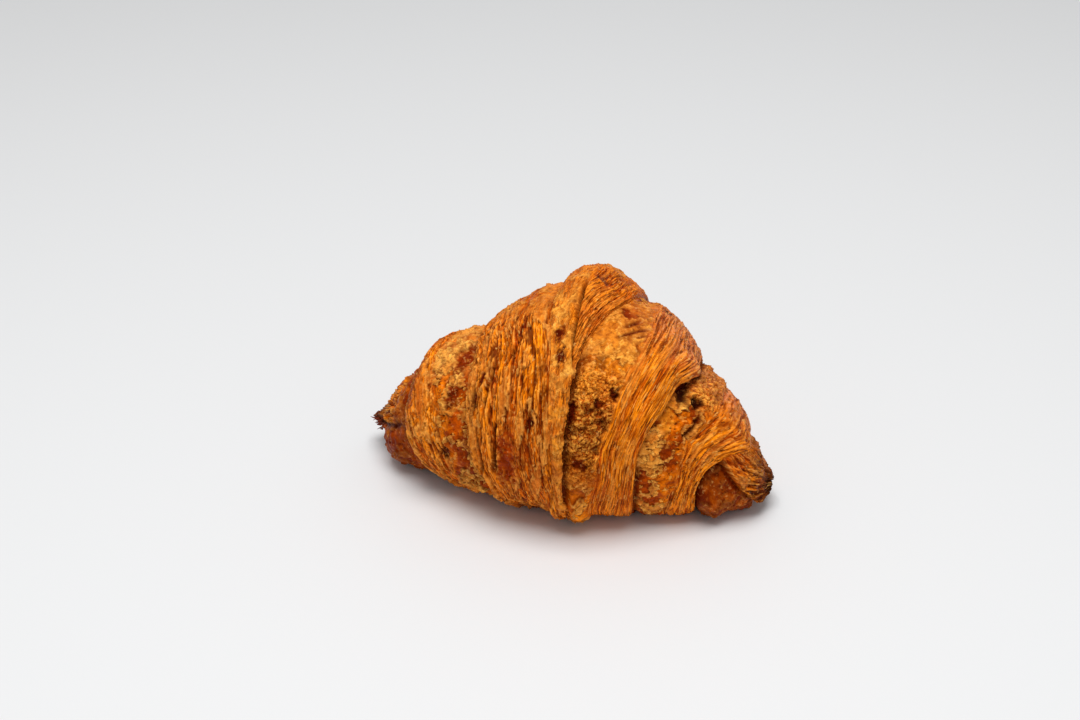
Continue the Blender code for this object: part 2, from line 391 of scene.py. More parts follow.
def torn_sheet(g, s, across, length, seed, cut):
    """One torn sheet of dough: where it lies, its torn rim, where a pale highlight is painted, and the gap at its
    foot, where dark shade is painted.
    """
    field = noise(g / across, s / length, seed) + 0.5 * noise(2.3 * g / across, 2.3 * s / length, seed + 0.6)
    field = field + 0.25 * noise(5.3 * g / across, 5.3 * s / length, seed + 1.2)
    lies = between(field, cut - 0.03, cut + 0.03)
    rim = lies * between(field, cut + 0.2, cut + 0.05)
    gap_shade = (1.0 - lies) * between(field, cut - 0.22, cut - 0.04)
    return lies, rim, gap_shade


# Share of the height, width and length in mm, and how much is covered, of each size of torn sheet.
SHEETS = ((0.5, 2.6, 24.0, -0.12), (0.3, 1.3, 12.0, -0.05), (0.2, 0.75, 6.0, 0.05))


def add_strands(skin, g, s, seed, where, height, pitch, stretch, vivid):
    """The cut edges of the dough's layers, torn along their length, where a skin is marked 1.

    g is the distance across the strands and s along them, in mm.
    """
    s = s / stretch
    g = g + pitch * (0.6 * noise(g * 0.1, s / 30.0, seed) + 0.35 * noise(g * 0.4, s / 9.0, seed + 0.4))
    relief = np.zeros(g.shape)
    rim_highlights = np.zeros(g.shape)
    gap_shades = np.zeros(g.shape)
    for weight, across, length, cut in SHEETS:
        lies, rim, gap_shade = torn_sheet(g, s, across * pitch, length, seed + 3.1 * across, cut)
        relief = relief + weight * lies
        rim_highlights = np.maximum(rim_highlights, rim * (0.5 + weight))
        gap_shades = np.maximum(gap_shades, gap_shade * (0.5 + weight))
    thin = noise(g / (0.8 * pitch), s / 9.0, seed + 7.1) + 0.5 * noise(g / (0.38 * pitch), s / 4.0, seed + 7.9)
    often = between(noise(g / 6.0, s / 14.0, seed + 8.8), -0.35, 0.3)
    shaded_slits = between(thin, -0.22, -0.4) * (0.3 + 0.7 * often)
    swell = noise(g / (3.6 * pitch), s / 26.0, seed + 9.5)
    skin.lift += where * height * (relief - 0.55 + 0.5 * vivid * swell - 0.75 * shaded_slits)
    colour = mix(mix(RUSSET, AMBER, 0.4), mix(AMBER, GOLD, 0.75), np.clip(relief * 1.15, 0.0, 1.0)[..., None])
    patch = between(noise(g / 7.0, s / 22.0, seed + 8.0), 0.05, 0.5)
    colour = mix(colour, RUSSET, (0.4 * patch)[..., None])
    # painted highlight on the torn sheets' rims
    colour = mix(colour, mix(GOLD, FLAKE, 0.6), np.clip(0.75 * vivid * rim_highlights, 0.0, 1.0)[..., None])
    # painted shade in the gaps at the torn sheets' feet
    colour = mix(colour, UMBER, np.clip(0.8 * vivid * gap_shades, 0.0, 1.0)[..., None])
    # painted shade in the thin slits between strands, which are also sunk
    colour = mix(colour, UMBER, np.clip((0.35 + 0.6 * vivid) * shaded_slits, 0.0, 1.0)[..., None])
    skin.paint(colour, where)
    bare, edge, foot_shade = torn_sheet(g, s, 3.0 * pitch, 11.0, seed + 12.5, 0.3)
    skin.lift += where * height * 0.4 * (bare + 0.5 * edge)
    skin.paint(mix(AMBER, FLAKE, 0.35), where * bare * vivid * 0.55)
    # painted highlight on the bare sheets' torn edges, then painted shade at their feet
    skin.paint(FLAKE, where * edge * vivid * 0.5)
    skin.paint(UMBER, where * foot_shade * vivid * 0.5)
    skin.strand = np.maximum(skin.strand, where * (1.0 - 0.75 * vivid * bare))
    skin.flow[..., 0] = g
    skin.flow[..., 1] = s
    skin.flow[..., 2] = seed * 7.0


def add_face(skin, seed, where, height=1.0, pale=0.0):
    """The open face of a turn: blistered glazed skin, browned in patches, with torn flakes lying on it; shade is
    painted in its creases, gaps and pits, and a highlight on the flakes' rims.
    """
    points = skin.points
    bend = np.stack([fractal_at(points, 3.0, 3, seed + n) for n in (1, 2, 3)], -1)
    ragged = points + 1.6 * bend
    skin.paint(mix(AMBER, GOLD, 0.3 + pale), where)
    browned = between(fractal_at(ragged, 9.0, 2, seed + 7), -0.15, 0.12) * (1.0 - 0.8 * pale)
    skin.paint(mix(RUSSET, UMBER, 0.2), where * 0.85 * browned)
    skin.rough = mix(skin.rough, 0.32, where * browned)
    blister = np.abs(fractal_at(points + 0.8 * bend, 5.2, 2, seed + 9))
    skin.lift += where * height * (1.1 * np.minimum(blister, 0.7) - 0.2)
    # painted shade in the creases between blisters
    skin.paint(UMBER, where * between(blister, 0.06, 0.0) * 0.55 * (1.0 - 0.5 * pale))
    for i, (pitch, cut, step) in enumerate(((11.0, 0.16, 0.4), (6.5, 0.24, 0.3), (3.2, 0.44, 0.14))):
        field = fractal_at(ragged, pitch, 2, seed + 11 * i + 4)
        lies = between(field, cut, cut + 0.03)
        rim = lies * between(field, cut + 0.16, cut + 0.04)
        gap_shade = (1.0 - lies) * between(field, cut - 0.16, cut - 0.03)
        skin.lift += where * height * step * (lies + 0.7 * rim)
        skin.paint(mix(GOLD, FLAKE, 0.65), where * lies * (0.55 + 0.2 * pale))
        # painted highlight on the flakes' rims, then painted shade in the gaps beside them
        skin.paint(FLAKE, where * rim * 0.85)
        skin.paint(UMBER, where * gap_shade * 0.65)
    shaded_pits = between(skin.noise(1.4, 2, seed + 31), 0.48, 0.62) * between(skin.noise(8.0, 2, seed + 32), -0.1, 0.3)
    skin.lift -= where * 0.6 * shaded_pits
    # painted shade in the sunken pits
    skin.paint(UMBER, where * shaded_pits * 0.9)


def add_crumb(skin, where, seed=40.0):
    """Torn, crumbly crust: small blistered grains, a highlight painted on their tops and dark shade painted in the
    gaps between them and in the hollows.
    """
    warped = skin.points + 0.7 * np.stack([fractal_at(skin.points, 2.0, 2, seed + n) for n in (1, 2, 3)], -1)
    grain = np.abs(fractal_at(warped, 1.9, 3, seed + 4, 0.6))
    lump = skin.noise(4.5, 2, seed + 5)
    skin.lift += where * (1.3 * np.minimum(grain, 0.6) - 0.2 + 0.9 * lump)
    skin.paint(mix(RUSSET, AMBER, 0.6), where)
    # painted highlight on the raised grain tops
    skin.paint(mix(GOLD, FLAKE, 0.65), where * between(grain, 0.1, 0.32))
    # painted shade in the gaps between grains
    skin.paint(UMBER, where * between(grain, 0.13, 0.03) * 0.88)
    # painted shade in the hollows between lumps
    skin.paint(UMBER, where * between(lump, -0.16, -0.45) * 0.7)
    skin.crumb = np.maximum(skin.crumb, where)
    skin.rough = mix(skin.rough, 0.6, where)


def add_spot(skin, share, colour=UMBER, dip=0.0, rough=None):
    skin.paint(colour, share)
    skin.lift -= dip * share
    if rough is not None:
        skin.rough = mix(skin.rough, rough, share)


def add_browning(skin, seed):
    """Oven colour over the whole piece: broad darker and redder patches, and a paler pinkish sheen painted on the
    grazing top right, where a fine grain is raised.
    """
    broad = skin.noise(17.0, 2, seed + 90)
    skin.paint(RUSSET, between(broad, 0.1, 0.7) * 0.45)
    high = between(skin.degrees, 60.0, 95.0) * between(skin.degrees, 300.0, 200.0)
    skin.paint(RUSSET, high * 0.2)
    grain = skin.noise(0.9, 2, seed + 91)
    # painted sheen: a pinkish reflection on the grazing top right
    sheen_zone = high * between(skin.x, 24.0, 44.0)
    skin.paint(ROSE, sheen_zone * between(grain, -0.5, 0.3) * 0.7)
    skin.lift += sheen_zone * 0.2 * grain


# ---------------------------------------------------------------- making the meshes

def row_angles(count):
    """Degrees turned, closer together where the dough is seen than under its base."""
    fine = np.linspace(0.0, 360.0, 1441)
    density = 0.4 + 0.75 * between(fine, 22.0, 38.0) * between(fine, 335.0, 318.0)
    density = density + 0.25 * between(fine, 22.0, 38.0) * between(fine, 215.0, 195.0)
    total = np.concatenate([[0.0], np.cumsum((density[1:] + density[:-1]) / 2.0)])
    return np.interp(np.linspace(0.0, total[-1], count), total, fine)


def evenly(points, values, count):
    """Each row's values read at equal distances along the row's line of points."""
    step = np.linalg.norm(np.diff(points, axis=1), axis=2)
    length = np.concatenate([np.zeros((len(points), 1)), np.cumsum(step, axis=1)], axis=1)
    share = np.linspace(0.0, 1.0, count)
    out = np.stack([np.interp(share * run[-1], run, row) for run, row in zip(length, values)])
    return out, share[None, :] * length[:, -1:]


def normals(points):
    """Unit normals of a grid closed round its columns."""
    down = np.gradient(points, axis=0)
    across = (np.roll(points, -1, axis=1) - np.roll(points, 1, axis=1)) / 2.0
    n = np.cross(down, across)
    return n / np.maximum(np.linalg.norm(n, axis=2, keepdims=True), 1e-9)


def softened(grid, times):
    """Running average over the grid, closed round its columns."""
    for _ in range(times):
        grid = (np.roll(grid, 1, axis=1) + grid + np.roll(grid, -1, axis=1)) / 3.0
        up = np.concatenate([grid[:1], grid[:-1]])
        down = np.concatenate([grid[1:], grid[-1:]])
        grid = (up + grid + down) / 3.0
    return grid


def closed_mesh(name, points, fields):
    """A closed mesh from rings of points, each end shut with a fan of triangles."""
    rows, columns = points.shape[:2]
    middle = np.stack([points[0].mean(0), points[-1].mean(0)])
    xyz = np.concatenate([points.reshape(-1, 3), middle])
    i, j = np.meshgrid(np.arange(rows - 1), np.arange(columns), indexing="ij")
    k = (j + 1) % columns
    quads = np.stack([i * columns + j, i * columns + k, (i + 1) * columns + k, (i + 1) * columns + j], -1)
    quads = quads.reshape(-1, 4)
    edge = np.arange(columns)
    after = (edge + 1) % columns
    last = (rows - 1) * columns
    first_fan = np.stack([after, edge, np.full(columns, rows * columns)], -1)
    last_fan = np.stack([last + edge, last + after, np.full(columns, rows * columns + 1)], -1)
    fans = np.concatenate([first_fan, last_fan])
    high = 0.03 + 0.94 * np.stack([i, i, i + 1, i + 1], -1).reshape(-1, 4) / (rows - 1.0)
    wide = np.stack([j, j + 1, j + 1, j], -1).reshape(-1, 4) / columns
    fan_wide = np.concatenate([
        np.stack([edge + 1, edge, edge + 0.5], -1), np.stack([edge, edge + 1, edge + 0.5], -1)]) / columns
    fan_high = np.concatenate([
        np.tile([0.025, 0.025, 0.005], (columns, 1)), np.tile([0.975, 0.975, 0.995], (columns, 1))])
    uv = np.concatenate([
        np.stack([wide, high], -1).reshape(-1, 2), np.stack([fan_wide, fan_high], -1).reshape(-1, 2)])
    a, b, c, d = (xyz[quads[:, n]] for n in range(4))
    turn = np.einsum("ij,ij->i", a, np.cross(b, c)).sum() + np.einsum("ij,ij->i", a, np.cross(c, d)).sum()
    if turn < 0.0:
        quads = quads[:, ::-1]
        fans = fans[:, ::-1]
        uv = np.concatenate([
            uv[:quads.size].reshape(-1, 4, 2)[:, ::-1].reshape(-1, 2),
            uv[quads.size:].reshape(-1, 3, 2)[:, ::-1].reshape(-1, 2)])
    corners = np.concatenate([quads.reshape(-1), fans.reshape(-1)]).astype(np.int32)
    sizes = np.concatenate([np.full(len(quads), 4), np.full(len(fans), 3)])
    starts = np.concatenate([[0], np.cumsum(sizes)[:-1]]).astype(np.int32)
    mesh = bpy.data.meshes.new(name)
    mesh.vertices.add(len(xyz))
    mesh.vertices.foreach_set("co", ((xyz - ORIGIN) * MM).astype(np.float32).reshape(-1))
    mesh.loops.add(len(corners))
    mesh.loops.foreach_set("vertex_index", corners)
    mesh.polygons.add(len(sizes))
    mesh.polygons.foreach_set("loop_start", starts)
    mesh.polygons.foreach_set("use_smooth", np.ones(len(sizes), bool))
    mesh.update(calc_edges=True)
    layer = mesh.uv_layers.new(name="OFBake")
    layer.data.foreach_set("uv", uv.astype(np.float32).reshape(-1))
    for field, kind, values in fields:
        flat = values.reshape(rows * columns, -1)
        ends = np.stack([values[0].reshape(columns, -1).mean(0), values[-1].reshape(columns, -1).mean(0)])
        flat = np.concatenate([flat, ends])
        if kind == "FLOAT_COLOR":
            flat = np.concatenate([flat, np.ones((len(flat), 1))], axis=1)
        entry = mesh.attributes.new(field, kind, "POINT")
        entry.data.foreach_set("color" if kind == "FLOAT_COLOR" else "vector", flat.astype(np.float32).reshape(-1))
    mesh.validate()
    return mesh


def put(name, mesh, material):
    piece = bpy.data.objects.new(name, mesh)
    bpy.context.scene.collection.objects.link(piece)
    mesh.materials.append(material)
    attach(piece, "root")
    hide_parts(NODE)
    return piece


def finish_piece(name, points, skin, outward, floor, material):
    """Raise the relief along the surface's normals and make the piece."""
    direction = softened(normals(points), 4)
    middle = points.mean(axis=1, keepdims=True)
    if (direction * (points - middle)).sum() < 0.0:
        direction = -direction
    shifted = points + direction * (skin.lift * outward)[..., None]
    shifted[..., 2] = np.maximum(shifted[..., 2], floor)
    finish = np.stack([skin.strand, skin.rough, skin.crumb], -1)
    fields = (
        ("tint", "FLOAT_COLOR", skin.colour), ("flow", "FLOAT_VECTOR", skin.flow),
        ("finish", "FLOAT_VECTOR", finish))
    return put(name, closed_mesh(name, shifted, fields), material)


LIP_INSET = 1.3
BURIED = 1.6
INNER_COLUMNS = 8
TUCKED = 5.0
FINE = 420


def band(turn, side, rows, columns):
    """Base surface of one turn's strip, from its free edge to where the next turn hides it.

    Returns the ring points, x and v of each, the distance from the free edge, how much
    of the relief each takes, and the lowest height allowed.
    """
    turned = row_angles(rows)[:, None]
    v = np.radians(turned + START_ANGLE)
    wound = turned + 360.0 * (TAIL - turn)
    share = (1.0 - np.cos(np.linspace(0.0, np.pi, FINE))) / 2.0
    if side == "both":
        free, cover, far = left_edge(wound), None, right_edge(wound)
    else:
        mine, inward = (left_edge, 1.0) if side == "left" else (right_edge, -1.0)
        over = wound - 360.0
        free, cover = mine(wound), mine(over)
        width = right_edge(over) - left_edge(over)
        far = cover + inward * np.minimum(TUCKED, 0.55 * width)
    fine_x = free + (far - free) * share[None, :]
    angle = np.broadcast_to(v, fine_x.shape)
    spun = np.broadcast_to(turned, fine_x.shape)
    fine = skin_point(fine_x, angle, body_radius(fine_x, angle, spun, turn))
    x, distance = evenly(fine, fine_x, columns)
    angle = np.broadcast_to(v, x.shape)
    spun = np.broadcast_to(turned, x.shape)
    radius = body_radius(x, angle, spun, turn)
    under = body_radius(x, angle, spun, turn - 1)
    hidden = np.zeros(x.shape)
    if cover is not None:
        hidden = smooth((x - cover) * inward / 3.0)
        radius = radius - BURIED * hidden
    height = np.maximum(radius[:, :1], radius)
    tuck = LIP_INSET * between(distance, 2.6, 0.0) * np.clip(height - under[:, :1], 0.4, 1.0)
    shift = tuck if side != "right" else -tuck
    if side == "both":
        other = distance[:, -1:] - distance
        shift = shift - LIP_INSET * between(other, 2.2, 0.0)
    limit = np.abs(far - free) * 0.3
    outer_x = x + np.clip(shift, -limit, limit)
    outer = skin_point(outer_x, angle, radius)
    back = np.linspace(1.0, 0.0, INNER_COLUMNS)
    inset = np.minimum(LIP_INSET + 0.3, limit) * np.sign(far - free)
    last_x = far - inset if side == "both" else far
    inner_x = (free + inset) + (last_x - free - inset) * back[None, :]
    inner_angle = np.broadcast_to(v, inner_x.shape)
    inner_spun = np.broadcast_to(turned, inner_x.shape)
    depth = BURIED + 0.6 + (0.8 if side == "both" else 0.0)
    inner_radius = np.maximum(body_radius(inner_x, inner_angle, inner_spun, turn - 1) - depth, 0.5)
    inner = skin_point(inner_x, inner_angle, inner_radius)
    points = np.concatenate([outer, inner], axis=1)
    ring_x = np.concatenate([x, inner_x], axis=1)
    ring_v = np.broadcast_to(v, ring_x.shape)
    ring_distance = np.concatenate([distance, np.zeros(inner_x.shape)], axis=1)
    takes = np.concatenate([between(distance, 0.0, 1.0) * (1.0 - 0.8 * hidden), np.zeros(inner_x.shape)], axis=1)
    beside = np.full(ring_x.shape, 99.0)
    if cover is not None:
        beside[:, :columns] = (cover - x) * inward
    if side == "both":
        takes[:, :columns] *= between(other, 0.0, 1.0)
    low = np.concatenate([0.5 * hidden, np.full(inner_x.shape, 1.0)], axis=1)
    return points, ring_x, ring_v, ring_distance, takes, low, columns, beside


def tuck_in(skin, distance, beside, depth=1.3, share=1.0):
    """Sink the dough where it passes under the next turn, and paint shade on both sides of the fold."""
    under = np.exp(-np.maximum(beside, 0.0) / 1.7)
    skin.lift -= depth * under * share
    # painted shade on the covered dough beside the fold
    skin.paint(UMBER, 0.8 * share * np.exp(-(np.maximum(beside, 0.0) / 1.1) ** 2))
    # painted shade along the turn's own free edge
    skin.paint(UMBER, 0.7 * between(distance, 1.3, 0.2))


def limit_distance(x, distance, columns, limit):
    """Distance from the free edge to the strands' inner limit, row by row."""
    out = np.zeros((len(x), 1))
    for i in range(len(x)):
        row, run = x[i, :columns], distance[i, :columns]
        if row[0] > row[-1]:
            row, run = row[::-1], run[::-1]
        out[i] = np.interp(limit[i], row, run)
    return np.maximum(out, 3.0)


def strand_flow(distance, reach, span):
    """Distance across the strands, which close up where their zone is narrow."""
    return np.where(distance < reach, distance / reach * span, span + distance - reach)


# ---------------------------------------------------------------- the pieces

def second_left(material):
    """The second turn where it shows left of the tail: cut strands over its whole width."""
    points, x, v, distance, takes, low, columns, beside = band(2, "left", 640, 116)
    skin = Skin(x, v, points, 36.0)
    edge = left_edge(skin.degrees - START_ANGLE)
    reach = limit_distance(x, distance, columns, edge[:, 0])
    g = strand_flow(distance, reach, 26.0)
    s = np.radians(skin.degrees) * 37.0
    face = between(skin.degrees + 6.0 * skin.noise(9.0, 2, 5.0), 72.0, 92.0) * between(distance, 6.0, 12.0)
    patch = skin.blot(-5.5, -6.0, 3.2, 12.0)
    face = np.maximum(face * 0.8, patch)
    add_face(skin, 21.0, face)
    calm = 1.0 - 0.4 * between(skin.degrees, 70.0, 95.0)
    add_strands(skin, g, s, 2.3, 1.0 - face, 1.1 * calm, 1.05, 1.6, 0.9)
    near = between(distance, 15.0, 6.0)
    add_strands(skin, g * 1.02 + 40.0, s, 5.7, near * 0.4, 1.4 * calm, 1.5, 1.5, 1.0)
    skin.paint(RUSSET, 0.08 * between(skin.degrees, 15.0, -15.0))
    add_spot(skin, patch, mix(RUSSET, UMBER, 0.35), 0.5, 0.34)
    skin.lift += 2.6 * skin.blot(10.5, -43.0, 4.5, 9.0, 0.1)
    skin.lift -= 1.2 * skin.blot(0.0, -47.0, 7.0, 8.0, 0.1)
    add_spot(skin, skin.blot(2.0, 16.0, 1.5, 3.2), UMBER, 0.5)
    add_spot(skin, skin.blot(-15.5, 39.0, 0.9, 3.0), UMBER, 0.6)
    add_spot(skin, skin.blot(-17.0, 26.0, 0.9, 3.0), UMBER, 0.6)
    add_spot(skin, skin.blot(-7.0, 66.0, 0.9, 5.0), UMBER, 0.5)
    add_spot(skin, skin.blot(4.0, 44.0, 0.8, 4.0) * 0.7, UMBER, 0.3)
    # painted shade in thin deep cracks between the strands
    for place in ((-13.0, 48.0, -13.4, 22.0, 0.45), (-10.6, 54.0, -12.0, 36.0, 0.4), (-18.2, 54.0, -17.8, 18.0, 0.5),
                  (-8.8, 16.0, -9.6, -16.0, 0.8), (-5.6, 62.0, -8.0, 45.0, 0.4), (-15.4, 12.0, -13.4, -18.0, 0.4)):
        add_spot(skin, skin.slit(*place), mix(UMBER, CHAR, 0.6), 1.8)
    add_browning(skin, 2.0)
    tuck_in(skin, distance, beside, 1.3, 0.15 + 0.85 * between(skin.degrees, 66.0, 92.0))
    return finish_piece("second_turn_left", points, skin, takes, low, material)


def first_left(material):
    """The first turn where it shows on the left: a band of strands, then open mottled crust."""
    points, x, v, distance, takes, low, columns, beside = band(1, "left", 560, 92)
    skin = Skin(x, v, points, 27.0)
    limit = along(LEFT_FIRST_LIMIT, skin.degrees[:, 0])
    reach = limit_distance(x, distance, columns, limit)
    g = strand_flow(distance, reach, 11.0)
    s = np.radians(skin.degrees) * 28.0
    cut = between(distance + 1.6 * skin.noise(3.5, 2, 6.0) - reach, 1.2, -1.2)
    add_face(skin, 51.0, 1.0 - cut, 1.15)
    add_strands(skin, g, s, 8.1, cut, 0.9, 0.95, 1.3, 0.8)
    skin.paint(FLAKE, 0.3 * (1.0 - cut) * between(skin.degrees, 40.0, 60.0))
    skin.paint(UMBER, 0.25 * (1.0 - cut) * between(skin.degrees, 40.0, 25.0))
    add_spot(skin, skin.blot(-27.0, 31.0, 2.6, 4.0), mix(UMBER, RUSSET, 0.3), 0.3, 0.32)
    add_spot(skin, skin.blot(-28.0, 62.0, 3.5, 7.0), mix(UMBER, RUSSET, 0.45), 0.2, 0.32)
    add_spot(skin, skin.blot(-28.5, -11.0, 1.8, 2.2), CHAR, 0.9)
    add_spot(skin, skin.blot(-24.5, 12.0, 2.2, 5.0), mix(RUSSET, AMBER, 0.3), 0.1, 0.3)
    add_spot(skin, skin.blot(-46.0, 40.0, 2.5, 12.0) * 0.7, mix(UMBER, ROSE, 0.3), 0.1)
    add_browning(skin, 4.0)
    tuck_in(skin, distance, beside)
    return finish_piece("first_turn_left", points, skin, takes, low, material)


def second_right(material):
    """The second turn right of the tail: torn crumbly crust, its browned crown, then strands."""
    points, x, v, distance, takes, low, columns, beside = band(2, "right", 680, 132)
    skin = Skin(x, v, points, 37.0)
    limit = along(RIGHT_SECOND_LIMIT, skin.degrees[:, 0])
    reach = limit_distance(x, distance, columns, limit)
    g = strand_flow(distance, reach, 17.0)
    s = np.radians(skin.degrees) * 38.0
    cut = between(distance + 1.8 * skin.noise(4.0, 2, 7.0) - reach, 1.2, -1.2)
    add_face(skin, 71.0, 1.0 - cut, 0.9, 0.45)
    glaze = between(skin.degrees, 50.0, 58.0) * between(skin.degrees, 108.0, 96.0) * (1.0 - cut)
    skin.lift *= 1.0 - 0.45 * glaze
    skin.paint(mix(GOLD, FLAKE, 0.35), 0.45 * glaze)
    skin.rough = mix(skin.rough, 0.36, glaze)
    torn = between(skin.degrees, 56.0, 40.0) * between(skin.degrees, -22.0, -8.0) * (1.0 - cut)
    add_crumb(skin, torn)
    skin.paint(UMBER, torn * 0.3 * between(skin.degrees, 32.0, 24.0) * between(skin.degrees, 2.0, 10.0))
    outer = between(skin.degrees, 30.0, 38.0) + between(skin.degrees, 6.0, -2.0)
    skin.paint(mix(GOLD, FLAKE, 0.2), torn * 0.35 * outer)
    add_strands(skin, g, s, 3.9, cut, 0.42, 0.66, 2.3, 0.45)
    beside = skin.x - right_edge(skin.degrees - START_ANGLE)
    swell = between(beside, 0.6, 2.2) * between(beside, 9.0, 3.0) * between(skin.degrees, -60.0, -40.0)
    skin.lift += 1.3 * swell * between(skin.degrees, 62.0, 45.0)
    skin.lift += 1.6 * skin.blot(49.0, 74.0, 4.5, 9.0, 0.1)
    add_spot(skin, 0.5 * skin.blot(29.0, 75.0, 5.5, 7.0, 1.2), mix(RUSSET, UMBER, 0.3), 0.3)
    skin.lift -= 2.0 * skin.blot(30.0, 113.0, 5.0, 10.0, 0.1)
    add_spot(skin, skin.blot(26.5, 84.0, 2.6, 2.4), UMBER, 0.5)
    for place in ((24.0, 66.0, 34.5, 80.0, 1.0), (26.0, 73.0, 31.5, 83.0, 0.9), (29.5, 69.0, 34.0, 75.0, 0.6)):
        add_spot(skin, skin.slit(*place), UMBER, 0.5)
    add_spot(skin, skin.blot(38.5, 111.0, 2.0, 3.0), CHAR, 0.3)
    add_spot(skin, skin.blot(21.0, 51.0, 1.8, 2.8) * 0.6, UMBER, 0.4)
    add_spot(skin, skin.blot(26.0, 38.0, 1.6, 2.2), mix(UMBER, CHAR, 0.5), 0.7)
    add_spot(skin, skin.blot(21.5, 31.0, 1.4, 1.8), mix(UMBER, CHAR, 0.4), 0.6)
    skin.lift += 2.6 * skin.blot(12.0, -43.0, 7.0, 9.0, 0.1)
    add_spot(skin, skin.blot(17.0, -3.0, 2.6, 2.6), UMBER, 0.7)
    add_spot(skin, skin.blot(14.5, 24.0, 1.2, 4.5), UMBER, 0.5)
    add_browning(skin, 6.0)
    flush = between(skin.degrees, 44.0, 58.0) * between(skin.degrees, 135.0, 118.0)
    tuck_in(skin, distance, beside, 1.3, 1.0 - 0.85 * flush)
    return finish_piece("second_turn_right", points, skin, takes, low, material)


def first_right(material):
    """The first turn on the right: mottled crust with a thin pale window, then strands."""
    points, x, v, distance, takes, low, columns, beside = band(1, "right", 580, 112)
    skin = Skin(x, v, points, 26.0)
    limit = along(RIGHT_FIRST_LIMIT, skin.degrees[:, 0])
    reach = limit_distance(x, distance, columns, limit)
    g = strand_flow(distance, reach, 10.0)
    s = np.radians(skin.degrees) * 28.0
    cut = between(distance + 1.6 * skin.noise(3.5, 2, 8.0) - reach, 1.2, -1.2)
    add_face(skin, 91.0, 1.0 - cut, 1.1)
    torn = between(skin.degrees, 52.0, 66.0) * between(skin.degrees, 200.0, 150.0) * (1.0 - cut)
    add_crumb(skin, torn * 0.8, 60.0)
    add_strands(skin, g, s, 6.6, cut, 0.5, 0.66, 1.9, 0.5)
    # painted shade in a deep hole in the crust
    add_spot(skin, skin.blot(45.5, 66.0, 2.2, 7.0, 0.2), CHAR, 2.6)
    add_spot(skin, skin.blot(41.3, 38.0, 2.4, 7.0), srgb(244, 150, 40), 0.4, 0.26)
    # painted shade in a small hole and a crack
    add_spot(skin, skin.blot(50.3, 60.0, 1.9, 2.4), CHAR, 1.3)
    add_spot(skin, skin.slit(52.0, 54.0, 46.5, 28.0, 0.8), CHAR, 1.3)
    add_spot(skin, skin.blot(42.0, 12.0, 2.2, 2.6), mix(UMBER, RUSSET, 0.5), 0.4, 0.3)
    add_browning(skin, 8.0)
    lapped = between(skin.degrees, -20.0, 0.0) * between(skin.degrees, 62.0, 48.0)
    tuck_in(skin, distance, beside, 1.3, 1.0 - 0.6 * lapped)
    return finish_piece("first_turn_right", points, skin, takes, low, material)


def tail(material):
    """The tail on top: a narrow smooth strip lying on the fan of strands beside it."""
    points, x, v, distance, takes, low, columns, beside = band(3, "both", 640, 140)
    skin = Skin(x, v, points, 42.0)
    turned = skin.degrees - START_ANGLE
    total = distance[:, columns - 1:columns]
    from_right = total - distance
    s = np.radians(skin.degrees) * 43.0
    crack = along(CRACK, skin.degrees)
    past = skin.x - crack + 0.35 * skin.noise(3.0, 2, 9.0)
    shown = between(skin.degrees, 42.0, 52.0) * between(skin.degrees, 98.0, 84.0)
    fan = np.where(skin.degrees > 108.0, 1.0, between(past, -0.4, 0.4) * between(skin.degrees, 40.0, 50.0))
    strip = 1.0 - fan
    add_face(skin, 111.0, np.ones(x.shape), 0.6, 0.5)
    skin.paint(mix(GOLD, FLAKE, 0.5), strip * 0.45)
    thread = strip * between(skin.noise(5.0, 2, 12.0), -0.25, 0.25) * 0.8
    add_strands(skin, distance, s, 1.7, thread, 0.5, 0.9, 1.2, 0.6)
    over = between(skin.degrees, 104.0, 118.0) * between(distance, 2.0, 12.0) * 0.7
    add_strands(skin, from_right, s, 4.4, fan * (1.0 - over), 0.65, 0.8, 1.4, 0.5)
    skin.paint(mix(GOLD, FLAKE, 0.3), 0.35 * fan * shown)
    # painted shade in the crack where the strip lies on the fan
    gap_shade = shown * np.exp(-(np.minimum(past, 0.0) / 0.15) ** 2 - (np.maximum(past, 0.0) / 0.75) ** 2)
    skin.lift -= 3.0 * gap_shade
    skin.lift += shown * 0.5 * between(past, -3.5, -0.8) * between(past, 0.0, -0.4)
    skin.paint(CHAR, gap_shade * 0.95)
    add_spot(skin, skin.blot(7.0, 61.0, 1.6, 3.2), UMBER, 0.3)
    add_spot(skin, skin.blot(9.0, 50.0, 1.4, 4.0), UMBER, 0.3)
    add_spot(skin, skin.blot(15.5, 95.0, 3.0, 1.4), mix(UMBER, ROSE, 0.2), 0.2)
    skin.lift += 2.4 * skin.blot(11.0, -43.0, 5.0, 9.0, 0.1)
    add_browning(skin, 9.0)
    flush = between(skin.degrees, 44.0, 58.0) * between(skin.degrees, 135.0, 118.0)
    rim = mix(np.where(skin.degrees < 70.0, from_right, np.minimum(distance, from_right)), 9.0, flush)
    tuck_in(skin, rim, beside)
    return finish_piece("tail", points, skin, takes, low, material)


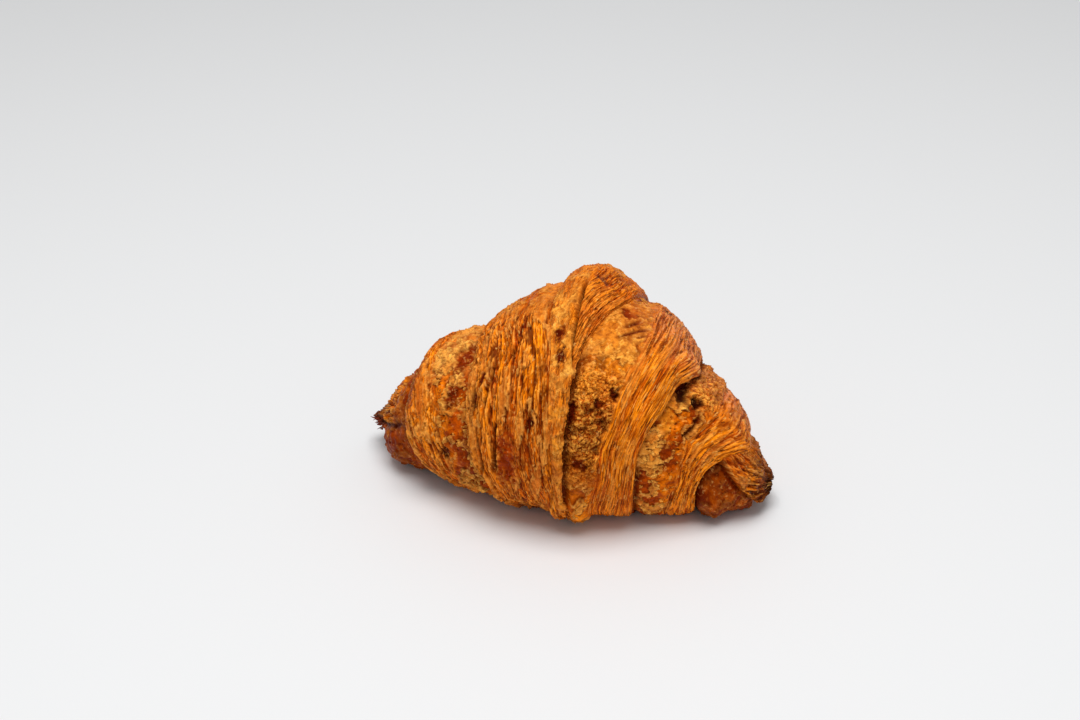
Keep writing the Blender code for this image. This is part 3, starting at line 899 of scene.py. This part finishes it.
def core(side, rows, columns, material):
    """The innermost roll where it shows at one end, down to its tip."""
    tip, end = (LEFT_TIP_X, -26.0) if side == "left" else (RIGHT_TIP_X, 40.0)
    t = np.linspace(0.0, 1.0, rows)[:, None]
    x = tip + (end - tip) * (0.25 * t ** 2 + 0.75 * t)
    turned = np.linspace(0.0, 360.0, columns, endpoint=False)[None, :]
    x, turned = (np.array(a) for a in np.broadcast_arrays(x, turned))
    v = np.radians(turned + START_ANGLE)
    edge = (left_edge if side == "left" else right_edge)(720.0 + turned)
    hidden = smooth((x - edge) * (1.0 if side == "left" else -1.0) / 3.0)
    radius = np.maximum(body_radius(x, v, turned, 0) - BURIED * hidden, 0.4)
    points = skin_point(x, v, radius)
    skin = Skin(x, v, points, 17.0)
    degrees = skin.degrees
    round_ = np.radians(degrees) * 13.0
    flap = np.zeros(x.shape)
    if side == "left":
        add_face(skin, 131.0, np.ones(x.shape), 0.9)
        skin.paint(mix(RUSSET, UMBER, 0.5), np.full(x.shape, 0.7))
        skin.paint(AMBER, between(skin.noise(5.0, 2, 14.0), 0.15, 0.5) * 0.5)
        skin.paint(UMBER, between(degrees, 5.0, -15.0) * 0.45)
        frayed = between(x + 2.0 * skin.noise(4.0, 2, 15.0), -52.0, -56.0) * between(degrees, 4.0, 10.0)
        frayed = np.maximum(frayed * between(degrees, 190.0, 160.0), between(x, -64.0, -67.0))
        add_strands(skin, round_, x * 1.4, 7.2, frayed, 1.2, 1.0, 1.0, 1.0)
        skin.paint(UMBER, frayed * between(x, -57.0, -66.0) * 0.85)
        skin.paint(CHAR, between(x + 1.5 * skin.noise(2.0, 2, 16.0), -64.0, -69.0) * 0.75)
        # painted shade in the long fold above the lower lobe
        fold = np.radians(degrees - 7.0) * 12.0 + 0.8 * skin.noise(5.0, 2, 18.0)
        furrow_shade = np.exp(-(fold / 1.3) ** 2) * between(x, -46.0, -52.0)
        add_spot(skin, furrow_shade, mix(UMBER, CHAR, 0.5), 1.6)
        skin.lift += 1.6 * skin.blot(-55.0, -30.0, 6.5, 8.0, 0.1)
        skin.lift -= 5.0 * between(x, -57.0, -65.0) * between(degrees, 4.0, -26.0)
        skin.lift -= 1.3 * between(x, -58.0, -64.0) * between(degrees, 55.0, 85.0)
    else:
        add_face(skin, 151.0, np.ones(x.shape), 0.9)
        skin.paint(mix(RUSSET, UMBER, 0.65), np.full(x.shape, 0.8))
        skin.paint(AMBER, between(skin.noise(5.0, 2, 16.0), 0.2, 0.6) * 0.4)
        lower = np.interp(x, (52.0, 58.0, 62.0, 67.0, 71.0, 75.0), (48.0, 26.0, 12.0, -8.0, -30.0, -44.0))
        beyond = np.radians(degrees - lower) * 13.0 + 0.9 * skin.noise(3.0, 2, 17.0)
        flap = between(beyond, -0.4, 0.6) * between(degrees, 262.0, 240.0)
        flap_height = 1.5 + 2.2 * between(x, 71.0, 60.0) * between(degrees, 110.0, 70.0)
        skin.lift += flap_height * flap - 0.9 * (1.0 - flap) * np.exp(-np.maximum(-beyond, 0.0) / 1.6)
        skin.lift += 1.0 * skin.blot(60.0, -22.0, 6.0, 9.0, 0.1) + 2.8 * skin.blot(55.0, -44.0, 5.5, 8.0, 0.1)
        skin.lift -= 3.0 * between(x, 68.0, 73.0) * between(degrees, -24.0, -36.0)
        add_strands(skin, round_ * 0.9, x * 1.3, 9.2, flap, 1.0, 0.95, 1.0, 0.9)
        # painted shade under the flap's edge
        skin.paint(UMBER, (1.0 - flap) * np.exp(-np.maximum(-beyond, 0.0) / 0.9) * 0.7)
        skin.paint(UMBER, flap * between(x, 64.0, 73.0) * 0.8)
        skin.paint(CHAR, between(x + 1.5 * skin.noise(2.0, 2, 19.0), 71.0, 75.0) * 0.8)
    skin.rough = mix(skin.rough, 0.36, 0.6)
    add_browning(skin, 10.0)
    open_ = 1.0 - 0.85 * flap
    # painted shade on the core beside the edge of the turn over it
    skin.paint(UMBER, 0.6 * open_ * np.exp(-np.abs(edge - x) / 3.5) * between(degrees, 200.0, 150.0))
    tuck_in(skin, np.full(x.shape, 9.0), (edge - x) * (1.0 if side == "left" else -1.0), 1.6, open_)
    takes = 1.0 - 0.8 * hidden
    return finish_piece("core_" + side, points, skin, takes, 0.5 * hidden, material)


def tip_fibres(material):
    """Frayed ends of the rolled layers standing off the left tip, each a thin tapered shard."""
    rng = np.random.default_rng(77)
    sides, steps = 5, 7
    verts, faces = [], []
    for number in range(30):
        x = rng.uniform(-70.0, -63.0)
        v = math.radians(rng.uniform(-30.0, 95.0) if number % 2 else rng.uniform(-8.0, 22.0))
        start = skin_point(np.array(x), np.array(v), layer_radius(0, np.array(x), np.array(v)) - 0.8)
        out = np.array([0.0, -math.cos(v), math.sin(v)])
        aim = np.array([-1.0, 0.0, rng.uniform(-0.15, 0.15)]) + out * rng.uniform(0.0, 0.5)
        aim /= np.linalg.norm(aim)
        bend = rng.normal(size=3) * 0.35
        length = rng.uniform(0.8, 1.5) if number % 4 else rng.uniform(1.4, 2.2)
        width = rng.uniform(0.3, 0.7)
        flat = rng.uniform(0.3, 0.6)
        side = np.cross(aim, rng.normal(size=3))
        side /= np.linalg.norm(side)
        other = np.cross(aim, side)
        base = len(verts)
        for i in range(steps):
            t = i / (steps - 1.0)
            centre = start + (aim + bend * t) * length * t
            r = width * (1.0 - t) ** 0.7 + 0.04
            for j in range(sides):
                a = 2.0 * math.pi * j / sides
                verts.append(centre + side * math.cos(a) * r + other * math.sin(a) * r * flat)
        for i in range(steps - 1):
            for j in range(sides):
                k = (j + 1) % sides
                low, high = base + i * sides, base + (i + 1) * sides
                faces.append((low + j, low + k, high + k, high + j))
        faces.append(tuple(base + j for j in reversed(range(sides))))
        faces.append(tuple(base + (steps - 1) * sides + j for j in range(sides)))
    mesh = bpy.data.meshes.new("tip_fibres")
    mesh.from_pydata([tuple((p - ORIGIN) * MM) for p in verts], [], faces)
    put("tip_fibres", mesh, material)


# ---------------------------------------------------------------- materials

def node(tree, kind, **settings):
    made = tree.nodes.new(kind)
    for name, value in settings.items():
        if name in made.inputs:
            made.inputs[name].default_value = value
        else:
            setattr(made, name, value)
    return made


def crust_material():
    material = bpy.data.materials.new("crust")
    material.use_nodes = True
    tree = material.node_tree
    tree.nodes.clear()
    link = tree.links.new
    out = node(tree, "ShaderNodeOutputMaterial")
    shader = node(tree, "ShaderNodeBsdfPrincipled")
    shader.inputs["Specular IOR Level"].default_value = 0.05
    shader.inputs["Specular Tint"].default_value = (1.0, 0.72, 0.4, 1.0)
    link(shader.outputs["BSDF"], out.inputs["Surface"])
    tint = node(tree, "ShaderNodeAttribute", attribute_name="tint")
    flow = node(tree, "ShaderNodeAttribute", attribute_name="flow")
    finish = node(tree, "ShaderNodeAttribute", attribute_name="finish")
    parts = node(tree, "ShaderNodeSeparateXYZ")
    link(finish.outputs["Vector"], parts.inputs[0])
    place = node(tree, "ShaderNodeTexCoord")

    def maths(operation, a, b, clamp=False):
        made = node(tree, "ShaderNodeMath", operation=operation, use_clamp=clamp)
        for slot, value in zip(made.inputs, (a, b)):
            if isinstance(value, (int, float)):
                slot.default_value = value
            else:
                link(value, slot)
        return made.outputs[0]

    def stretched(across, length, detail, rough=0.55):
        scale = node(tree, "ShaderNodeVectorMath", operation="MULTIPLY")
        link(flow.outputs["Vector"], scale.inputs[0])
        scale.inputs[1].default_value = (1.0 / across, 1.0 / length, 1.0)
        made = node(tree, "ShaderNodeTexNoise")
        made.inputs["Scale"].default_value = 1.0
        made.inputs["Detail"].default_value = detail
        made.inputs["Roughness"].default_value = rough
        link(scale.outputs[0], made.inputs["Vector"])
        return made.outputs["Fac"]

    def spread(pitch_mm, detail, rough=0.55):
        made = node(tree, "ShaderNodeTexNoise")
        made.inputs["Scale"].default_value = 1000.0 / pitch_mm
        made.inputs["Detail"].default_value = detail
        made.inputs["Roughness"].default_value = rough
        link(place.outputs["Object"], made.inputs["Vector"])
        return made.outputs["Fac"]

    def ramp(value, low, high, to_low=0.0, to_high=1.0):
        made = node(tree, "ShaderNodeMapRange", interpolation_type="SMOOTHSTEP")
        link(value, made.inputs["Value"])
        for slot, number in zip(("From Min", "From Max", "To Min", "To Max"), (low, high, to_low, to_high)):
            made.inputs[slot].default_value = number
        return made.outputs["Result"]

    def blend(a, b, factor, kind="MIX"):
        made = node(tree, "ShaderNodeMix", data_type="RGBA", blend_type=kind, clamp_factor=True)
        for slot, value in ((made.inputs[0], factor), (made.inputs[6], a), (made.inputs[7], b)):
            if isinstance(value, (int, float)):
                slot.default_value = value
            elif isinstance(value, tuple):
                slot.default_value = value
            else:
                link(value, slot)
        return made.outputs[2]

    strand, rough, crumb = parts.outputs[0], parts.outputs[1], parts.outputs[2]
    fine = stretched(0.46, 3.4, 4.0, 0.6)
    shaded_dashes = stretched(0.58, 2.6, 2.0)
    glints = stretched(0.52, 2.2, 2.0)
    grain = spread(0.9, 4.0, 0.65)
    flecks = spread(1.5, 3.0, 0.6)
    mottle = spread(3.0, 4.0, 0.6)
    open_face = maths("SUBTRACT", 1.0, strand)

    dark = tuple(srgb(84, 22, 2)) + (1.0,)
    glint_highlight = tuple(srgb(255, 194, 104)) + (1.0,)
    tan = tuple(srgb(248, 184, 104)) + (1.0,)
    colour = tint.outputs["Color"]
    # painted shade in the bump's fine grooves and painted highlight on its ridges
    shade = blend((0.52, 0.32, 0.12, 1.0), (1.42, 1.42, 1.4, 1.0), ramp(fine, 0.36, 0.62))
    colour = blend(colour, shade, strand, "MULTIPLY")
    # painted highlight: pale glints along the strands
    colour = blend(colour, glint_highlight, maths("MULTIPLY", ramp(glints, 0.61, 0.68, 0.0, 0.5), strand))
    # painted shade in short pits along the strands, which the bump also sinks
    colour = blend(colour, dark, maths("MULTIPLY", ramp(shaded_dashes, 0.6, 0.66, 0.0, 0.75), strand))
    shade = blend((0.74, 0.6, 0.42, 1.0), (1.16, 1.16, 1.0, 1.0), ramp(mottle, 0.36, 0.64))
    colour = blend(colour, shade, open_face, "MULTIPLY")
    # painted shade in the small hollows of the grain bump and painted highlight on its tops
    shade = blend((0.6, 0.46, 0.3, 1.0), (1.2, 1.22, 1.1, 1.0), ramp(grain, 0.36, 0.62))
    grainy = maths("ADD", maths("MULTIPLY", open_face, 0.2), maths("MULTIPLY", crumb, 0.6))
    colour = blend(colour, shade, maths("ADD", grainy, 0.2), "MULTIPLY")
    colour = blend(colour, tan, maths("MULTIPLY", ramp(flecks, 0.6, 0.66, 0.0, 0.3), open_face))
    colour = blend(colour, dark, maths("MULTIPLY", ramp(flecks, 0.4, 0.34, 0.0, 0.35), open_face))
    link(colour, shader.inputs["Base Color"])

    rough = maths("ADD", rough, ramp(grain, 0.3, 0.7, -0.08, 0.12), True)
    link(rough, shader.inputs["Roughness"])

    ridges = maths("MULTIPLY", fine, strand)
    ridges = maths("SUBTRACT", ridges, maths("MULTIPLY", ramp(shaded_dashes, 0.56, 0.7), maths("MULTIPLY", strand, 0.5)))
    skin = maths("MULTIPLY", grain, maths("ADD", maths("MULTIPLY", crumb, 1.0), 0.35))
    bump = node(tree, "ShaderNodeBump")
    bump.inputs["Strength"].default_value = 0.75
    bump.inputs["Distance"].default_value = 0.0005
    link(maths("ADD", ridges, skin), bump.inputs["Height"])
    link(bump.outputs["Normal"], shader.inputs["Normal"])
    return material


def fibre_material():
    """Dark baked fibres in uneven browns."""
    material = bpy.data.materials.new("frayed_crust")
    material.use_nodes = True
    tree = material.node_tree
    shader = tree.nodes["Principled BSDF"]
    place = node(tree, "ShaderNodeTexCoord")
    grain = node(tree, "ShaderNodeTexNoise")
    grain.inputs["Scale"].default_value = 900.0
    grain.inputs["Detail"].default_value = 3.0
    tree.links.new(place.outputs["Object"], grain.inputs["Vector"])
    shades = node(tree, "ShaderNodeValToRGB")
    shades.color_ramp.elements[0].color = tuple(CHAR) + (1.0,)
    shades.color_ramp.elements[1].color = tuple(mix(UMBER, RUSSET, 0.6)) + (1.0,)
    shades.color_ramp.elements[0].position = 0.35
    shades.color_ramp.elements[1].position = 0.7
    tree.links.new(grain.outputs["Fac"], shades.inputs["Fac"])
    tree.links.new(shades.outputs["Color"], shader.inputs["Base Color"])
    shader.inputs["Roughness"].default_value = 0.55
    shader.inputs["Specular IOR Level"].default_value = 0.2
    return material


def floor_material():
    material = bpy.data.materials.new("pale_floor")
    material.use_nodes = True
    shader = material.node_tree.nodes["Principled BSDF"]
    shader.inputs["Base Color"].default_value = (0.8, 0.806, 0.812, 1.0)
    shader.inputs["Roughness"].default_value = 0.6
    shader.inputs["Specular IOR Level"].default_value = 0.3
    return material


# ---------------------------------------------------------------- stage, lights, camera

CAMERA_AZIMUTH = 17.0
CAMERA_ELEVATION = 30.0
CAMERA_DISTANCE = 0.735
CAMERA_TARGET = (-6.4, 3.0, 48.1)


def make_floor():
    low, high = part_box(NODE)
    mesh = bpy.data.meshes.new("floor")
    size = 8.0
    corners = [(-size, -size, low[2]), (size, -size, low[2]), (size, size, low[2]), (-size, size, low[2])]
    mesh.from_pydata(corners, [], [(0, 1, 2, 3)])
    floor = bpy.data.objects.new("floor", mesh)
    bpy.context.scene.collection.objects.link(floor)
    mesh.materials.append(floor_material())


def make_camera():
    target = (np.array(CAMERA_TARGET) - ORIGIN) * MM
    a = math.radians(CAMERA_AZIMUTH)
    e = math.radians(CAMERA_ELEVATION)
    back = np.array([math.sin(a) * math.cos(e), -math.cos(a) * math.cos(e), math.sin(e)])
    data = bpy.data.cameras.new("camera")
    data.lens = 70.0
    data.sensor_width = 36.0
    data.clip_start = 0.01
    camera = bpy.data.objects.new("camera", data)
    camera.location = target + back * CAMERA_DISTANCE
    camera.rotation_euler = (math.radians(90.0 - CAMERA_ELEVATION), 0.0, a)
    bpy.context.scene.collection.objects.link(camera)
    bpy.context.scene.camera = camera


def area_light(name, place, aim, size, power, colour=(1.0, 1.0, 1.0)):
    data = bpy.data.lights.new(name, "AREA")
    data.shape = "SQUARE"
    data.size = size
    data.energy = power
    data.color = colour
    light = bpy.data.objects.new(name, data)
    light.location = place
    away = np.array(place) - np.array(aim)
    flat = math.hypot(away[0], away[1])
    light.rotation_euler = (math.atan2(flat, away[2]), 0.0, math.atan2(away[0], -away[1]))
    bpy.context.scene.collection.objects.link(light)


def make_lights():
    world = bpy.data.worlds.new("studio")
    bpy.context.scene.world = world
    world.use_nodes = True
    world.node_tree.nodes["Background"].inputs["Color"].default_value = (1.0, 1.0, 1.0, 1.0)
    world.node_tree.nodes["Background"].inputs["Strength"].default_value = 0.4
    area_light("soft_top", (0.05, -0.22, 1.14), (0.0, 0.0, 0.03), 0.7, 11.0)
    bpy.context.scene.view_settings.view_transform = "Standard"


ORIGIN = body_origin()
make_camera()
make_lights()
make_floor()
crust = crust_material()
tail(crust)
second_left(crust)
second_right(crust)
first_left(crust)
first_right(crust)
core("left", 130, 250, crust)
core("right", 120, 250, crust)
tip_fibres(fibre_material())
